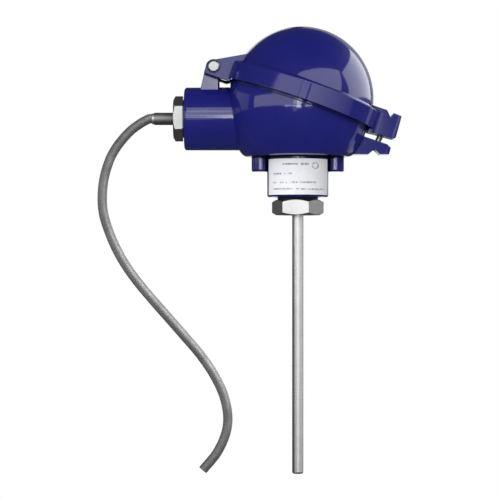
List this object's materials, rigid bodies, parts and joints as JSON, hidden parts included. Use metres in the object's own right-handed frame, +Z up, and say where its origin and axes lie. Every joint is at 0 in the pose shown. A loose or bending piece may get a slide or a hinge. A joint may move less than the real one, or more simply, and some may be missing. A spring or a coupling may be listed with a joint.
{
  "type": "resistance thermometer probe with connection head",
  "caption": "Temperature probe with a straight metal stem, a domed hinged connection head in glossy blue paint, and a braided cable leaving through a side gland.",
  "frame": {"origin": "on the stem's axis, at the lower face of the nipple's hexagon", "axes": "+Z up along the stem's axis, away from its tip; -X towards the cable entry and the hinge, +X towards the lid's latch; Y across the head"},
  "size_m": [0.1714, 0.0882, 0.2523],
  "materials": {
    "blue_paint": "glossy night-blue paint on cast aluminium",
    "black_rubber": "matt black rubber",
    "bright_steel": "bright zinc-plated steel",
    "nickel": "turned stainless steel, fine turning marks",
    "drawn_steel": "satin drawn stainless tube",
    "dark_steel": "dull dark turned steel",
    "steel_braid": "fine tight stainless wire braid",
    "white_label": "satin white foil with pale printed fields",
    "ceramic": "unglazed steatite",
    "potting": "cast epoxy",
    "brass": "machined brass",
    "core_plastic": "smooth wire insulation",
    "lead_sleeving": "woven glass sleeving"
  },
  "bodies": {
    "head": {"head_body": "blue_paint", "hinge_pin": "bright_steel", "label": "white_label", "stem_nipple": "nickel", "stem": "drawn_steel", "nipple_seal": "black_rubber", "stem_seal": "potting", "sensing_element": "ceramic", "sensor_leads": "lead_sleeving", "terminal_base": "ceramic", "terminal_posts": "brass", "terminal_screws": "bright_steel", "mounting_screws": "bright_steel", "earth_screw": "bright_steel", "earth_washer": "bright_steel", "cable_cores": "core_plastic", "cable_gland": "nickel", "gland_seal": "black_rubber", "cable_sleeve": "dark_steel", "cable_bush": "nickel", "sensor_cable": "steel_braid"},
    "lid": {"lid": "blue_paint", "lid_gasket": "black_rubber"},
    "lid_screw": {"lid_screw": "bright_steel"}
  },
  "joints": [
    {"name": "lid_hinge", "type": "hinge", "parent": "head", "child": "lid", "pos_m": [-0.04728, 0, 0.08272], "axis": [0, -1, 0], "range_deg": [0, 105]},
    {"name": "lid_screw_slide", "type": "slide", "parent": "lid", "child": "lid_screw", "axis": [0.4253, 0, 0.9051], "range_m": [0, 0.005]}
  ]
}
